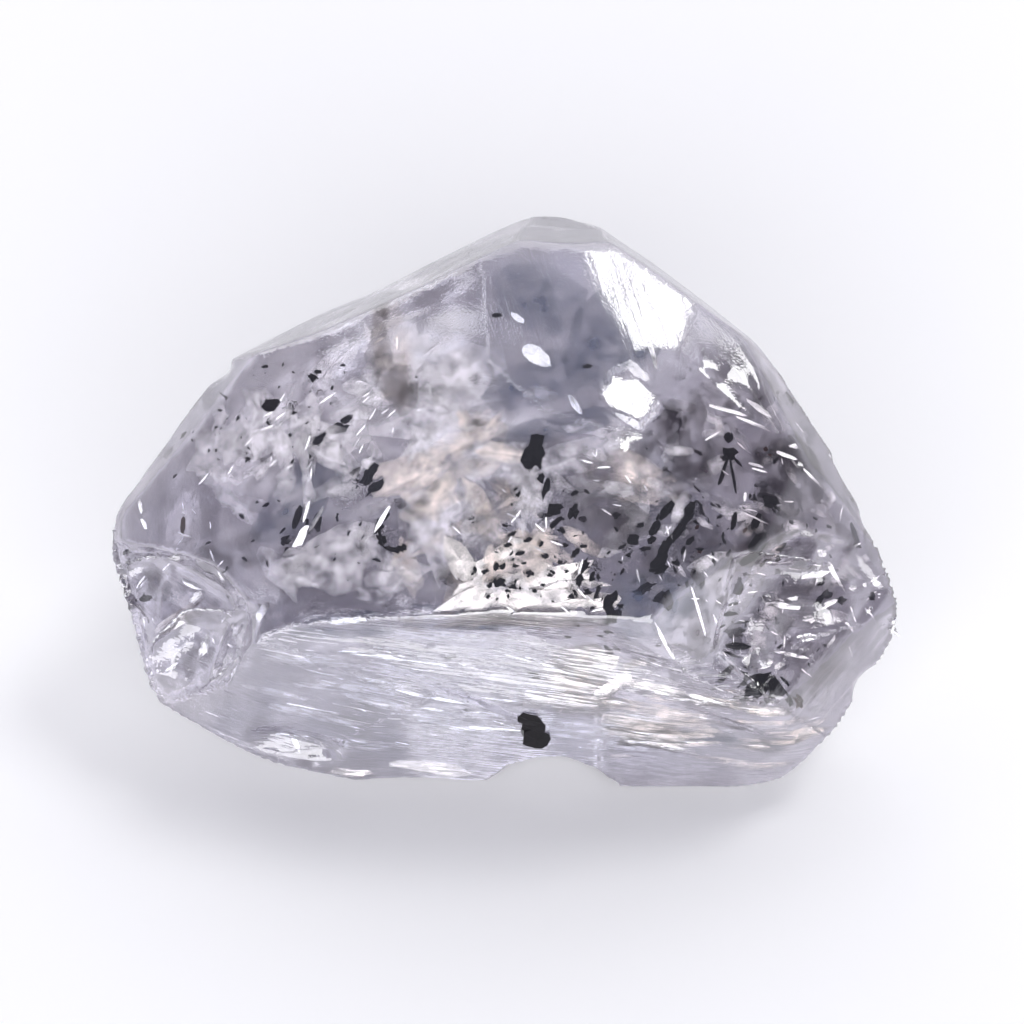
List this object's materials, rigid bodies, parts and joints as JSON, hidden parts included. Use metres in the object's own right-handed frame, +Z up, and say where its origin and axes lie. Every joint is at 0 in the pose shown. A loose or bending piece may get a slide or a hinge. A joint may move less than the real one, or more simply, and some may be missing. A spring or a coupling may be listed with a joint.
{
  "type": "rough diamond",
  "caption": "Pale, faintly lilac rough diamond with a domed face, a stepped broken foot, chipped ends and dark graphite specks, lying on a small flat spot.",
  "frame": {"origin": "middle of the stone's footprint box, on the surface that it rests on", "axes": "+X along the stone's length towards its pointed end, +Z up, the stepped break facing -Y"},
  "size_m": [0.012, 0.0076, 0.0069],
  "materials": {
    "diamond": "clear natural crystal, glossy where broken and satin where grown"
  },
  "bodies": {
    "root": {"rough_diamond": "diamond"}
  },
  "joints": []
}
